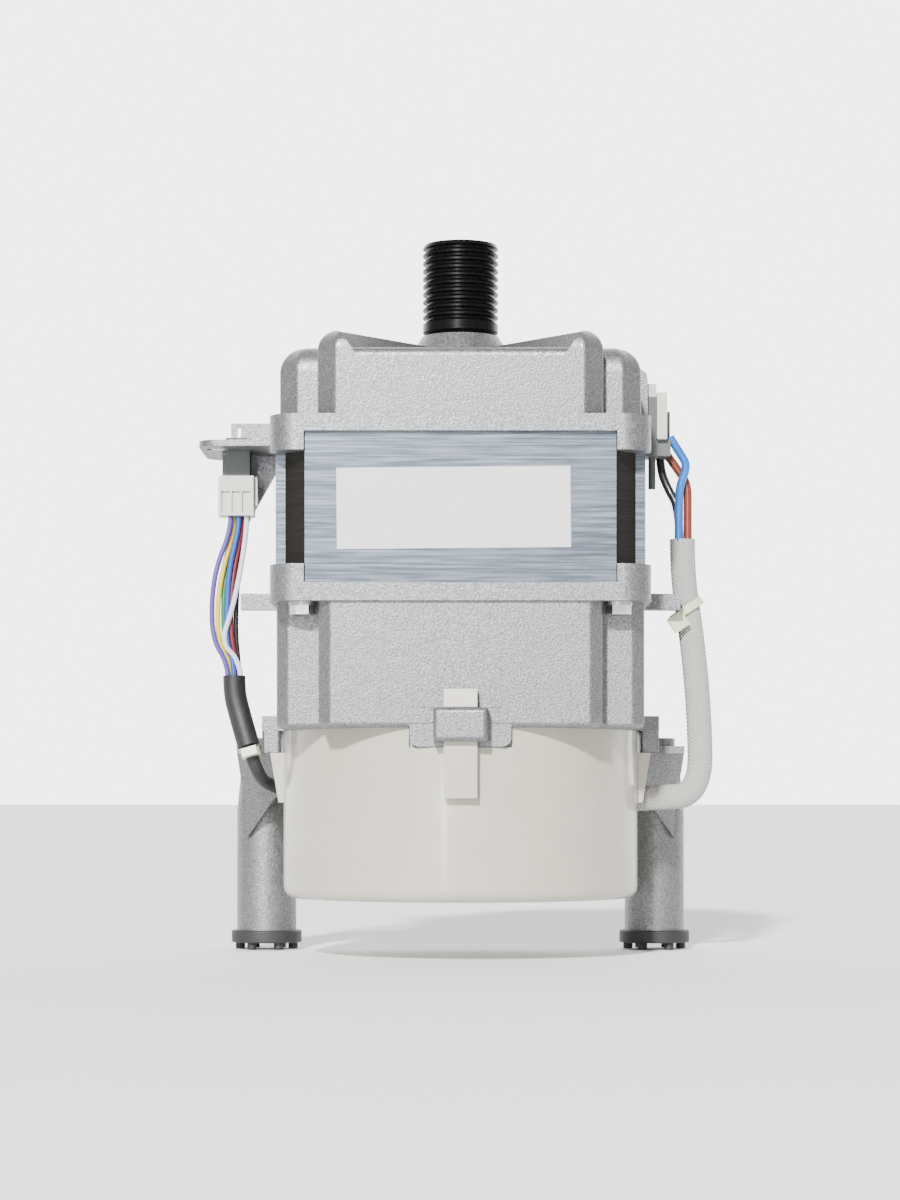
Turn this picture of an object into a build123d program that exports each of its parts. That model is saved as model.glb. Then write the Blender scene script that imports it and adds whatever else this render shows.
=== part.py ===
from build123d import *
import math
import os

os.makedirs("parts", exist_ok=True)

# The motor stands with its shaft along +Z. The origin is midway between its two mounting bolts,
# on the plane where the bolts' steel sleeves end. All sizes are in millimetres.

# Driving dimensions
leg_spacing = 123.0
leg_setback = 42.0
cap_floor_z = 15.6
cap_height = 50.1
cap_diameter = 107.0
lower_shell_height = 36.1
lower_flange_thickness = 5.1
stack_height = 43.2
upper_flange_thickness = 4.9
dome_height = 25.0
hub_height = 5.2
pulley_length = 27.6
pulley_diameter = 22.8
rib_pitch = 2.34
rib_count = 10

# Heights that follow from them
cap_top_z = cap_floor_z + cap_height
lower_flange_z = cap_top_z + lower_shell_height
stack_z = lower_flange_z + lower_flange_thickness
stack_top_z = stack_z + stack_height
dome_z = stack_top_z + upper_flange_thickness
dome_top_z = dome_z + dome_height
pulley_z = dome_top_z + hub_height
pulley_top_z = pulley_z + pulley_length
leg_x = leg_spacing / 2
cap_radius = cap_diameter / 2
shaft_y = -leg_setback

# Fits and overruns
press_gap = 0.02
slip_gap = 0.2
running_gap = 0.1
cut_overrun = 1.0

# Laminated stator core
stack_half = 53.2
stack_corner = 8.8
stack_face_half = stack_half - stack_corner
stack_corner_step = 2.8
tooth_count = 12
tooth_width = 7.6
yoke_thickness = 8.2
slot_radius = stack_half - yoke_thickness
bore_radius = 29.0
shoe_thickness = 2.5
shoe_radius = bore_radius + shoe_thickness
slot_mouth = 2.4
bolt_inset = 7.8
bolt_place = stack_half - bolt_inset
bolt_hole_radius = 2.2

# End brackets
flange_lip = 1.5
flange_half = stack_half + flange_lip
flange_corner_radius = 8.0
ear_length = 5.4
lobe_inset = 2.2
lobe_corner = 11.5
lobe_bevel = 5.3
lobe_reach = flange_half - lobe_inset
lobe_half = lobe_reach - lobe_corner
lobe_face_half = lobe_half - lobe_bevel
lower_lobe_inset = 1.3
lower_lobe_corner = 12.8
lower_lobe_bevel = 3.4
lower_lobe_reach = flange_half - lower_lobe_inset
lower_lobe_half = lower_lobe_reach - lower_lobe_corner
lower_lobe_face_half = lower_lobe_half - lower_lobe_bevel
shell_foot_radius = 1.5
lobe_top_radius = 6.0
side_lobe_top_radius = 7.5
side_lobe_drop = 3.4
lobe_edge_radius = 1.6
valley_depth = 6.0
valley_inner_y = 14.0
valley_corner = 6.7
valley_outer_y = lobe_reach - lobe_top_radius
valley_half = lobe_face_half - valley_corner
valley_rim_drop = 9.0
valley_rim_radius = 2.5
valley_wall_angle = 35.0
cavity_gap = 3.5
cavity_radius = slot_radius + cavity_gap
roof_thickness = 5.0
floor_thickness = 3.6
hub_base_radius = 15.5
hub_top_radius = 11.6
hub_skirt = 1.0
shaft_hole_radius = 8.4
lower_shaft_hole_radius = 7.4

# Ball bearings, at the pulley end and at the tail
upper_bearing_bore_radius = 7.5
upper_bearing_outer_radius = 17.5
upper_bearing_width = 11.0
lower_bearing_bore_radius = 6.0
lower_bearing_outer_radius = 16.0
lower_bearing_width = 10.0
race_thickness_share = 0.3
ball_share = 0.30
ball_count = 8
cage_width_share = 0.25
cage_wall = 1.2
bearing_wall = 4.0
upper_pocket_roof = 3.4
bearing_lip = 2.6
lower_bearing_lift = 3.0
preload_washer_thickness = 0.5

# Rotor
air_gap = 0.7
rotor_radius = bore_radius - air_gap
magnet_count = 8
magnet_width = 15.6
magnet_thickness = 3.2
magnet_radius = 21.6
magnet_gap = 0.1
end_plate_thickness = 1.6
end_plate_radius = rotor_radius - air_gap
core_seat_radius = 8.5
tail_radius = 4.9
tail_length = 9.0
pulley_seat_radius = 6.9
sensor_magnet_radius = 9.0
sensor_magnet_height = 5.0

# Pulley grooves
groove_depth_share = 0.52
rib_flat_share = 0.26
pulley_collar_bevel = 1.1
pulley_top_bevel = 0.5

# Legs, arms and their rubber bushes
leg_radius = 9.4
leg_top_radius = 7.4
leg_taper_z = 42.0
leg_top_drop = 4.1
leg_top_z = cap_top_z - leg_top_drop
leg_spigot_radius = 6.6
leg_spigot_height = 3.0
bush_flange_thickness = 3.9
bush_flange_radius = 11.1
bush_nub_count = 6
bush_nub_radius = 1.5
bush_nub_height = 2.0
bush_plug_length = 12.0
sleeve_outer_radius = 5.6
sleeve_bore_radius = 4.2
bush_bore_radius = sleeve_outer_radius + press_gap
leg_bore_radius = 7.2
arm_gap = 0.9
arm_width = 5.6
arm_inner_x = cap_radius + arm_gap
arm_outer_x = arm_inner_x + arm_width
arm_front_y = -3.0
arm_drop = 6.3
arm_rise = 4.7
haunch_outer_reach = 5.5
haunch_inner_reach = 3.9
haunch_outer_x = leg_x + haunch_outer_reach
haunch_inner_x = leg_x - haunch_inner_reach
haunch_low_z = 33.2
haunch_step_z = 46.0
haunch_front_y = 12.0
edge_radius = 1.0

# Snap lug at the front of the lower bracket, and the cap's latch tongue
lug_half = 7.7
lug_reach = 7.2
lug_rise = 5.5
lug_drop = 4.1
lug_edge_radius = 1.4
apron_half = 14.5
apron_drop = 5.5
apron_thickness = 3.2
apron_corner_radius = 2.6
tongue_half = 4.75
tongue_thickness = 2.2
tongue_standoff = 1.5
tongue_drop = 20.2
tongue_rise = 10.8
tongue_low_z = cap_top_z - tongue_drop
tongue_top_z = cap_top_z + tongue_rise
tongue_hook = 1.0
panel_half = 11.6
panel_relief = 0.3
panel_foot_gap = 5.7
panel_head_gap = 3.6
panel_foot_z = cap_top_z + panel_foot_gap
panel_head_z = lower_flange_z - panel_head_gap

# Cap
cap_wall = 2.0
cap_edge_radius = 3.5
spigot_gap = 0.3
spigot_wall = 2.2
spigot_depth = 5.0
cap_wing_reach = 3.8
cap_wing_width = 4.6
cap_wing_front_y = -6.0
cap_wing_drop = 21.4
cap_wing_foot_z = cap_top_z - cap_wing_drop
cap_wing_foot_reach = 1.3
cable_hole_gap = 0.3

# Cable tie lugs on the lower flange
tie_lug_reach = 11.2
tie_lug_height = 4.8
tie_lug_front_y = -9.4
tie_lug_width = 5.6

# Connector shelf cast on the upper bracket
shelf_reach = 23.3
shelf_left_x = -flange_half - shelf_reach
shelf_half_depth = 19.0
shelf_thickness = 1.8
shelf_corner_radius = 6.0
shelf_slot_reach = 18.3
shelf_slot_x = -flange_half - shelf_slot_reach
shelf_slot_y = -9.0
shelf_slot_length = 6.4
shelf_slot_width = 3.6
shelf_wall_reach = 15.3
shelf_wall_left_x = -flange_half - shelf_wall_reach
shelf_wall_y = 6.0
shelf_wall_thickness = 2.4
shelf_wall_height = 8.0
shelf_wall_slot = 1.2
shelf_wall_slot_reach = 13.5
shelf_wall_slot_x = -flange_half - shelf_wall_slot_reach
web_thickness = 3.0
web_drop = 22.0
web_foot_reach = 11.3
web_foot_x = -flange_half - web_foot_reach
web_foot_width = 2.4
web_y = 8.0

# Sensor connector
header_reach = 12.9
header_x = -flange_half - header_reach
header_y = -2.0
header_width = 8.2
header_depth = 7.4
header_drop = 7.5
header_top_width = 6.2
header_top_height = 2.2
plug_width = 10.6
plug_depth = 8.6
plug_length = 11.9
plug_window_width = 2.5
plug_window_height = 6.4
plug_window_depth = 0.9
plug_window_pitch = 3.1
plug_window_count = 3
plug_latch_width = 3.6
plug_latch_thickness = 1.0
header_screw_reach = 7.2
header_screw_x = -flange_half - header_screw_reach
header_screw_y = -1.0
header_screw_radius = 2.1
header_screw_height = 1.6
header_screw_shank = 1.2

# Sensor leads from left to right, with how far each wanders at the top and at the foot of its belly
sensor_leads = [
    ("purple", 0.0, -0.4),
    ("yellow", 0.5, 0.2),
    ("green", -0.3, 0.4),
    ("blue", 0.4, -0.5),
    ("red", -0.5, 0.3),
    ("black", 0.3, -0.2),
    ("white", -0.2, 0.3),
]
lead_radius = 0.75
lead_start_shift = 0.7
lead_start_x = header_x + lead_start_shift
lead_pitch = 0.8
lead_row_count = 3
lead_row = 2.0
lead_exit_z = 127.6
lead_belly_x = -70.9
belly_pitch = 1.15
lead_belly_high_z = 112.0
lead_belly_low_z = 94.0
mouth_pitch = 0.62
mouth_row = 1.5
lead_mouth_run = 4.0

# Black sensor sleeve and the cable from it, as points on their centrelines
sensor_sleeve_radius = 3.4
sensor_sleeve_points = [(-68.4, -2.0, 82.4), (-68.4, -2.0, 76.4), (-63.9, -4.0, 61.4)]
sensor_cable_radius = 2.0
sensor_cable_lead_share = 0.5
cable_standoff = 4.1
cable_entry = 3.3
sensor_cable_points = [(-cap_radius - cable_standoff, 4.4, 48.8), (-cap_radius + cable_entry, 8.6, 47.2)]
sensor_tie_drop = 2.4
sensor_tie_band = 0.9
sensor_tie_band_width = 2.6
sensor_tie_head = 4.6
sensor_tie_head_depth = 3.0

# Pad on the right of the upper bracket, and the phase connector on it
phase_y = 2.0
pad_relief = 3.9
pad_outer_x = lobe_reach + pad_relief
pad_half_depth = 7.0
pad_height = 20.0
pad_top_radius = 3.0
carrier_thickness = 2.8
carrier_depth = 10.0
carrier_low_z = 148.9
carrier_high_z = 166.8
phase_block_depth = 15.0
phase_block_thickness = 3.0
phase_block_low_z = 153.8
phase_block_high_z = 167.8
phase_hook_depth = 9.0
phase_hook_height = 4.0
phase_plug_depth = 10.8
phase_plug_height = 4.9
phase_latch_thickness = 1.2
phase_latch_depth = 6.0
phase_latch_top_z = 162.5
phase_peg_radius = 1.1
phase_peg_drop = 9.5

# Phase leads, as points on their centrelines. Each begins in its bore in the plug.
phase_lead_radius = 1.3
blue_phase_points = [
    (63.6, -1.2, 154.4), (68.6, -1.2, 146.4), (66.2, -0.8, 140.2), (66.2, 0.7, 133.6), (66.2, 0.7, 124.0),
]
brown_phase_points = [(61.4, 2.2, 151.8), (69.0, 2.2, 141.2), (69.0, 2.0, 134.0), (69.0, 2.0, 124.0)]
black_phase_points = [
    (60.8, 6.0, 151.0), (61.0, 6.0, 145.4), (63.4, 5.6, 139.6), (66.6, 3.5, 134.0), (66.6, 3.5, 124.0),
]
phase_routes = {
    "blue_phase_lead": blue_phase_points,
    "brown_phase_lead": brown_phase_points,
    "black_phase_lead": black_phase_points,
}

# White braided sleeve, as points on its centreline in the plane of its route
braid_width = 7.8
braid_depth = 5.6
braid_y = 2.0
braid_points = [(67.4, 124.0), (67.4, 112.0), (72.2, 76.0), (72.9, 46.8), (50.6, 45.4)]
braid_tie_x = 68.6
braid_tie_z = 102.8
braid_tie_tilt = 34.0
braid_tie_band = 1.0
braid_tie_band_width = 2.4
braid_tie_head = 5.0
braid_tie_head_depth = 2.8
braid_tie_head_x = 65.8
braid_tie_head_z = 98.8
braid_tie_gap = 0.05

# Through bolts
bolt_radius = 2.0
bolt_head_radius = 4.0
bolt_washer_height = 0.9
bolt_hex_radius = 3.7
hexagon_sides = 6
bolt_hex_height = 2.6
bolt_end_gap = 0.6

# Winding and its insulators
insulator_pad = 1.4
insulator_wall = 1.6
insulator_wall_height = 9.0
insulator_inner_wall_height = 7.0
insulator_ring_width = 2.4
insulator_ring_radius = slot_radius + insulator_ring_width
insulator_side_gap = 0.5
coil_side = 2.9
coil_shoe_gap = 2.3
coil_yoke_gap = 1.4
coil_inner_radius = shoe_radius + coil_shoe_gap
coil_outer_radius = slot_radius - coil_yoke_gap
coil_end_height = 5.0
coil_slot_gap = 0.6

# Sensor board inside the cap
board_radius = 30.0
board_thickness = 1.6
board_drop = 9.0
board_post_radius = 3.0
board_post_place = 24.0
board_hole_radius = 12.0
board_screw_radius = 1.3
board_screw_head_radius = 2.6
board_screw_head_height = 1.8
board_screw_length = 7.0
hall_size = 3.4
hall_height = 1.5
hall_place = 15.5
hall_count = 3


def level(z):
    """A horizontal plane centred on the shaft."""
    return Plane((0, shaft_y, z))


def facing(depth):
    """An upright plane that faces the front, this far in front of the shaft."""
    return Plane(origin=(0, shaft_y - depth, 0), x_dir=(1, 0, 0), z_dir=(0, -1, 0))


def side_plane(x):
    """An upright plane that faces +X, with its local x along Y, measured from the shaft."""
    return Plane(origin=(x, shaft_y, 0), x_dir=(0, 1, 0), z_dir=(1, 0, 0))


def from_shaft(x, y, z):
    """A point whose x and y are measured from the shaft."""
    return (x, shaft_y + y, z)


shaft_axis = Axis((0, shaft_y, 0), (0, 0, 1))


def turned(outline):
    """A solid of revolution about the shaft, from radius and height points."""
    with BuildPart() as piece:
        with BuildSketch(facing(0)):
            with BuildLine():
                Polyline(*outline, close=True)
            make_face()
        revolve(axis=shaft_axis)
    return piece.part


def ring(inner, outer, low, high):
    """A plain ring about the shaft."""
    return turned([(inner, low), (outer, low), (outer, high), (inner, high)])


def block(x_limits, y_limits, z_limits):
    """A block between these limits, with x and y measured from the shaft."""
    x_low, x_high = sorted(x_limits)
    y_low, y_high = sorted(y_limits)
    z_low, z_high = sorted(z_limits)
    with BuildPart() as piece:
        with BuildSketch(level(z_low)):
            with Locations(((x_low + x_high) / 2, (y_low + y_high) / 2)):
                Rectangle(x_high - x_low, y_high - y_low)
        extrude(amount=z_high - z_low)
    return piece.part


def centred(half):
    """Limits this far to each side of the middle."""
    return (-half, half)


def prism(plane, outline, amount):
    """A straight prism on this outline."""
    with BuildPart() as piece:
        with BuildSketch(plane):
            with BuildLine():
                Polyline(*outline, close=True)
            make_face()
        extrude(amount=amount)
    return piece.part


def four_way(corner):
    """A closed outline from the points of one corner, turned to all four."""
    points = []
    for turn in range(4):
        for x, y in corner:
            for _ in range(turn):
                x, y = y, -x
            points.append((x, y))
    return points


def lobed(face_half, half, reach):
    """The four-lobed outline of a bracket: bevelled lobes with square notches between them."""
    bevel = half - face_half
    outer = [(face_half, reach), (half, reach - bevel)]
    corner = outer + [(half, half)] + [(y, x) for x, y in reversed(outer)]
    return four_way(corner)


def lobe_pair(face_half, half, reach):
    """The outline of the front and back lobes together, with their corners bevelled."""
    bevel = half - face_half
    right = [(half, bevel - reach), (half, reach - bevel), (face_half, reach)]
    left = [(-x, -y) for x, y in right]
    return right + [(-face_half, reach)] + left + [(face_half, -reach)]


def lobes(face_half, half, reach, height, turned_over, top_radius):
    """A pair of lobes as a rounded block, front and back, or left and right if it is turned over."""
    outline = lobe_pair(face_half, half, reach)
    if turned_over:
        outline = [(y, x) for x, y in outline]
    with BuildPart() as pair:
        add(prism(level(0), outline, height))
        fillet(pair.edges().filter_by(Axis.Z), lobe_edge_radius)
        fillet(pair.edges().group_by(Axis.Z)[-1], top_radius)
    return pair.part


def stack_outline(gap):
    """The stator core's outline, grown by a gap."""
    face = stack_face_half + gap
    half = stack_half + gap
    step = half - stack_corner_step
    return four_way([(face, half), (face, step), (step, face), (half, face)])


def bolt_places():
    """The corners where the through bolts stand."""
    return GridLocations(2 * bolt_place, 2 * bolt_place, 2, 2)


def corner_ears(z_low):
    """Four ears that wrap the corners of the stator core."""
    notch = 2 * (stack_face_half + slip_gap)
    with BuildPart() as ears:
        with BuildSketch(level(z_low)):
            RectangleRounded(2 * flange_half, 2 * flange_half, flange_corner_radius)
            Rectangle(notch, 4 * flange_half, mode=Mode.SUBTRACT)
            Rectangle(4 * flange_half, notch, mode=Mode.SUBTRACT)
            with BuildLine():
                Polyline(*stack_outline(slip_gap), close=True)
            make_face(mode=Mode.SUBTRACT)
        extrude(amount=ear_length)
    return ears.part


def save(part, name):
    """Labels a finished piece and writes it."""
    part.label = name
    export_step(part, "parts/" + name + ".step")


def tube(points, radii, radius, name):
    """A round tube along straight runs joined by arcs."""
    with BuildPart() as piece:
        with BuildLine() as path:
            FilletPolyline(*points, radius=radii)
        route = path.wire()
        with BuildSketch(Plane(origin=route @ 0, z_dir=route % 0)):
            Circle(radius)
        sweep()
    wanted = math.pi * radius**2 * route.length
    print(name, "radii", [round(r, 1) for r in radii], "volume ratio", round(piece.part.volume / wanted, 4))
    return piece.part


def free_radii(points):
    """The largest arc for each corner of a route, from its shorter run and its turn."""
    arc_share = 0.45
    radii = []
    for a, b, c in zip(points, points[1:], points[2:]):
        before = Vector(*b) - Vector(*a)
        after = Vector(*c) - Vector(*b)
        half_turn = math.radians(before.get_angle(after)) / 2
        radii.append(arc_share * min(before.length, after.length) / math.tan(half_turn))
    return radii


def at_shaft(points):
    """Route points whose x and y are measured from the shaft."""
    return [from_shaft(*point) for point in points]


# Upper bracket, with the shelf that carries the sensor connector
upper_pocket_top_z = dome_top_z - upper_pocket_roof
upper_bearing_z = upper_pocket_top_z - upper_bearing_width
ceiling_z = dome_top_z - roof_thickness
valley_low_z = dome_top_z - valley_rim_drop
upper_boss_radius = upper_bearing_outer_radius + bearing_wall
shelf_z = stack_top_z
shelf_top_z = shelf_z + shelf_thickness
flange_inset = flange_half - edge_radius
wall_slot_top_z = shelf_top_z + shelf_wall_height - shelf_wall_slot

with BuildPart() as upper_bracket:
    front_pair = lobes(lobe_face_half, lobe_half, lobe_reach, dome_height, False, lobe_top_radius)
    side_height = dome_height - side_lobe_drop
    side_pair = lobes(lobe_face_half, lobe_half, lobe_reach, side_height, True, side_lobe_top_radius)
    add([front_pair.moved(Location((0, 0, dome_z))), side_pair.moved(Location((0, 0, dome_z)))])
    for way in (-1, 1):
        valley_far = lobe_reach + 2 * cut_overrun
        valley_side = [
            (way * valley_inner_y, dome_top_z),
            (way * valley_far, dome_top_z),
            (way * valley_far, valley_low_z),
            (way * lobe_reach, valley_low_z),
            (way * lobe_reach, dome_top_z - valley_depth),
        ]
        valley_plan = [
            (0, way * valley_inner_y),
            (-valley_half, way * valley_outer_y),
            (-valley_half, way * valley_far),
            (valley_half, way * valley_far),
            (valley_half, way * valley_outer_y),
        ]
        with BuildPart(mode=Mode.PRIVATE) as valley:
            add(prism(side_plane(-lobe_half), valley_side, 2 * lobe_half))
            rim = (0, shaft_y + way * lobe_reach, dome_top_z - valley_depth)
            fillet(valley.edges().filter_by(Axis.X).sort_by_distance(rim)[0], valley_rim_radius)
            with BuildSketch(level(valley_low_z)):
                with BuildLine():
                    Polyline(*valley_plan, close=True)
                make_face()
            extrude(amount=valley_rim_drop + cut_overrun, taper=-valley_wall_angle, mode=Mode.INTERSECT)
        add(valley.part, mode=Mode.SUBTRACT)
    with BuildSketch(level(stack_top_z)):
        RectangleRounded(2 * flange_half, 2 * flange_half, flange_corner_radius)
    extrude(amount=upper_flange_thickness)
    add(corner_ears(stack_top_z - ear_length))
    hub_outline = [
        (0, dome_top_z - hub_skirt),
        (hub_base_radius, dome_top_z - hub_skirt),
        (hub_top_radius, pulley_z - slip_gap),
        (0, pulley_z - slip_gap),
    ]
    add(turned(hub_outline))
    cavity_outline = [
        (0, stack_top_z),
        (cavity_radius, stack_top_z),
        (cavity_radius, ceiling_z - valley_depth),
        (upper_boss_radius, ceiling_z),
        (0, ceiling_z),
    ]
    add(turned(cavity_outline), mode=Mode.SUBTRACT)
    add(ring(0, upper_boss_radius, upper_bearing_z, ceiling_z))
    upper_pocket_radius = upper_bearing_outer_radius + press_gap
    add(ring(0, upper_pocket_radius, upper_bearing_z, upper_pocket_top_z), mode=Mode.SUBTRACT)
    add(ring(0, shaft_hole_radius, upper_pocket_top_z, pulley_z + cut_overrun), mode=Mode.SUBTRACT)
    with BuildSketch(level(stack_top_z)):
        with bolt_places():
            Circle(bolt_radius + press_gap)
    extrude(amount=upper_flange_thickness, mode=Mode.SUBTRACT)
    add(block((shelf_left_x, -flange_inset), centred(shelf_half_depth), (shelf_z, shelf_top_z)))
    shelf_corners = upper_bracket.edges().filter_by(Axis.Z).group_by(Axis.X)[0]
    fillet(shelf_corners, shelf_corner_radius)
    add(block(
        (shelf_wall_left_x, -flange_inset),
        (shelf_wall_y, shelf_wall_y + shelf_wall_thickness),
        (shelf_z, shelf_top_z + shelf_wall_height),
    ))
    add(block(
        (shelf_wall_slot_x, shelf_wall_slot_x + shelf_wall_slot),
        (shelf_wall_y - cut_overrun, shelf_wall_y + shelf_wall_thickness + cut_overrun),
        (shelf_top_z + shelf_wall_slot, wall_slot_top_z),
    ), mode=Mode.SUBTRACT)
    web_outline = [
        (shelf_left_x + shelf_corner_radius, shelf_z),
        (web_foot_x - web_foot_width, shelf_z - web_drop),
        (web_foot_x, shelf_z - web_drop),
        (-flange_inset, shelf_z),
    ]
    add(prism(facing(-web_y), web_outline, -web_thickness))
    with BuildSketch(level(shelf_z)):
        with Locations((shelf_slot_x, shelf_slot_y)):
            SlotOverall(shelf_slot_length, shelf_slot_width)
        with Locations((header_x, header_y)):
            Rectangle(header_top_width + 2 * slip_gap, header_depth + 2 * slip_gap)
        with Locations((header_screw_x, header_screw_y)):
            Circle(header_screw_shank + press_gap)
    extrude(amount=shelf_thickness, mode=Mode.SUBTRACT)
    with BuildPart(mode=Mode.PRIVATE) as pad:
        add(block(
            (lobe_half, pad_outer_x),
            (phase_y - pad_half_depth, phase_y + pad_half_depth),
            (dome_z, dome_z + pad_height),
        ))
        fillet(pad.edges().group_by(Axis.Z)[-1].group_by(Axis.X)[-1], pad_top_radius)
        add(turned(cavity_outline), mode=Mode.SUBTRACT)
    add(pad.part)
save(upper_bracket.part, "upper_bracket")

# Lower bracket, with its legs
lower_floor_top_z = cap_top_z + floor_thickness
lower_bearing_z = lower_floor_top_z + lower_bearing_lift
lower_bearing_top_z = lower_bearing_z + lower_bearing_width
washer_z = lower_bearing_z - preload_washer_thickness
lower_boss_radius = lower_bearing_outer_radius + bearing_wall
arm_low_z = cap_top_z - arm_drop
arm_high_z = cap_top_z + arm_rise
leg_foot_z = bush_flange_thickness
spigot_top_z = leg_top_z + leg_spigot_height
lug_low_z = cap_top_z - lug_drop
lug_high_z = cap_top_z + lug_rise
tongue_inner = cap_radius + tongue_standoff
tongue_outer = tongue_inner + tongue_thickness
spigot_radius = cap_radius - cap_wall - spigot_gap


def one_leg(side):
    """A leg tube, the arm that carries it and the haunch between them. side is -1 or 1."""
    leg_outline = [
        (0, leg_foot_z),
        (leg_radius, leg_foot_z),
        (leg_radius, leg_taper_z),
        (leg_top_radius, leg_top_z),
        (leg_spigot_radius, leg_top_z),
        (leg_spigot_radius, spigot_top_z),
        (0, spigot_top_z),
    ]
    haunch_side = [
        (haunch_front_y, arm_low_z),
        (leg_setback - leg_radius, haunch_low_z),
        (leg_setback, haunch_low_z),
        (leg_setback, leg_top_z),
        (haunch_front_y, leg_top_z),
    ]
    haunch_front = [
        (side * haunch_outer_x, haunch_low_z),
        (side * haunch_inner_x, haunch_step_z),
        (side * arm_inner_x, arm_low_z),
        (side * arm_inner_x, leg_top_z),
        (side * (leg_x + leg_top_radius), leg_top_z),
        (side * haunch_outer_x, leg_taper_z),
    ]
    with BuildPart() as leg:
        with BuildSketch(Plane(origin=(side * leg_x, 0, 0), x_dir=(1, 0, 0), z_dir=(0, -1, 0))):
            with BuildLine():
                Polyline(*leg_outline, close=True)
            make_face()
        revolve(axis=Axis((side * leg_x, 0, 0), (0, 0, 1)))
        arm_x = (side * arm_inner_x, side * arm_outer_x)
        add(block(arm_x, (arm_front_y, leg_setback), (arm_low_z, arm_high_z)))
        fillet(leg.edges().filter_by(Axis.Z).group_by(Axis.Y)[0], edge_radius)
        with BuildPart(mode=Mode.PRIVATE) as haunch:
            add(prism(side_plane(0), haunch_side, side * (leg_x + leg_radius)))
            add(prism(facing(-leg_setback), haunch_front, leg_setback), mode=Mode.INTERSECT)
        add(haunch.part)
        with BuildSketch(Plane((side * leg_x, 0, 0))):
            Circle(leg_bore_radius)
        extrude(amount=leg_foot_z + bush_plug_length, mode=Mode.SUBTRACT)
        with BuildSketch(Plane((side * leg_x, 0, 0))):
            Circle(sleeve_outer_radius + press_gap)
        extrude(amount=spigot_top_z, mode=Mode.SUBTRACT)
    return leg.part


with BuildPart() as lower_bracket:
    shell_outline = lobed(lower_lobe_face_half, lower_lobe_half, lower_lobe_reach)
    add(prism(level(cap_top_z), shell_outline, lower_shell_height))
    inner_corners = lower_lobe_half + edge_radius
    rounded = lower_bracket.edges().filter_by(Axis.Z).filter_by(
        lambda edge: max(abs(edge.center().X), abs(edge.center().Y - shaft_y)) > inner_corners)
    fillet(rounded, lobe_edge_radius)
    fillet(lower_bracket.faces().sort_by(Axis.Z)[0].edges(), shell_foot_radius)
    with BuildSketch(level(lower_flange_z)):
        RectangleRounded(2 * flange_half, 2 * flange_half, flange_corner_radius)
    extrude(amount=lower_flange_thickness)
    add(corner_ears(stack_z))
    for side in (-1, 1):
        add(block(
            (side * flange_inset, side * (flange_half + tie_lug_reach)),
            (tie_lug_front_y, tie_lug_front_y + tie_lug_width),
            (stack_z - tie_lug_height, stack_z),
        ))
        add(block(
            (side * (lower_lobe_reach - edge_radius), side * arm_outer_x),
            (arm_front_y, lower_lobe_face_half),
            (cap_top_z + slip_gap, arm_high_z),
        ))
        add(one_leg(side))
    with BuildSketch(Plane((0, 0, spigot_top_z))):
        with Locations((-leg_x, 0), (leg_x, 0)):
            Circle(leg_top_radius)
    extrude(amount=arm_high_z - spigot_top_z, mode=Mode.SUBTRACT)
    with BuildPart(mode=Mode.PRIVATE) as lug:
        add(block(
            centred(lug_half),
            (-lower_lobe_reach - lug_reach, -lower_lobe_reach + edge_radius),
            (lug_low_z, lug_high_z),
        ))
        fillet(lug.faces().sort_by(Axis.Y)[0].edges(), lug_edge_radius)
    with BuildPart(mode=Mode.PRIVATE) as apron:
        add(block(
            centred(apron_half),
            (-lower_lobe_reach, -lower_lobe_reach + apron_thickness),
            (cap_top_z - apron_drop, cap_top_z + edge_radius),
        ))
        fillet(apron.edges().filter_by(Axis.Y).group_by(Axis.Z)[0], apron_corner_radius)
    add([lug.part, apron.part])
    add(block(
        centred(panel_half),
        (-lower_lobe_reach - panel_relief, -lower_lobe_reach),
        (panel_foot_z, panel_head_z),
    ))
    add(block(
        centred(tongue_half + slip_gap),
        (-tongue_outer - slip_gap, -tongue_inner + slip_gap),
        (lug_low_z - cut_overrun, lug_high_z + cut_overrun),
    ), mode=Mode.SUBTRACT)
    add(ring(0, cavity_radius, lower_floor_top_z, stack_z), mode=Mode.SUBTRACT)
    add(ring(0, lower_boss_radius, lower_floor_top_z, lower_bearing_top_z))
    add(ring(0, lower_bearing_outer_radius + press_gap, washer_z, stack_z), mode=Mode.SUBTRACT)
    add(ring(0, lower_shaft_hole_radius, cap_top_z - cut_overrun, washer_z), mode=Mode.SUBTRACT)
    add(ring(spigot_radius - spigot_wall, spigot_radius, cap_top_z - spigot_depth, cap_top_z))
    with BuildSketch(level(lower_flange_z)):
        with bolt_places():
            Circle(bolt_hole_radius)
    extrude(amount=lower_flange_thickness, mode=Mode.SUBTRACT)
    with BuildSketch(level(cap_top_z)):
        with PolarLocations(board_post_place, hall_count):
            Circle(board_post_radius)
    extrude(amount=-board_drop)
    with BuildSketch(level(cap_top_z)):
        with PolarLocations(board_post_place, hall_count):
            Circle(board_screw_radius + press_gap)
    extrude(amount=-board_drop, mode=Mode.SUBTRACT)
save(lower_bracket.part, "lower_bracket")

# Stator core
with BuildPart() as stator_core:
    with BuildSketch(level(stack_z)):
        with BuildLine():
            Polyline(*stack_outline(0), close=True)
        make_face()
        Circle(slot_radius, mode=Mode.SUBTRACT)
        with PolarLocations((shoe_radius + slot_radius) / 2, tooth_count):
            Rectangle(slot_radius - bore_radius, tooth_width)
        Circle(shoe_radius)
        with PolarLocations(shoe_radius, tooth_count, start_angle=180 / tooth_count):
            Rectangle(2 * (shoe_radius - bore_radius) + slot_mouth, slot_mouth, mode=Mode.SUBTRACT)
        Circle(bore_radius, mode=Mode.SUBTRACT)
        with bolt_places():
            Circle(bolt_hole_radius, mode=Mode.SUBTRACT)
    extrude(amount=stack_height)
save(stator_core.part, "stator_core")


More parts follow.
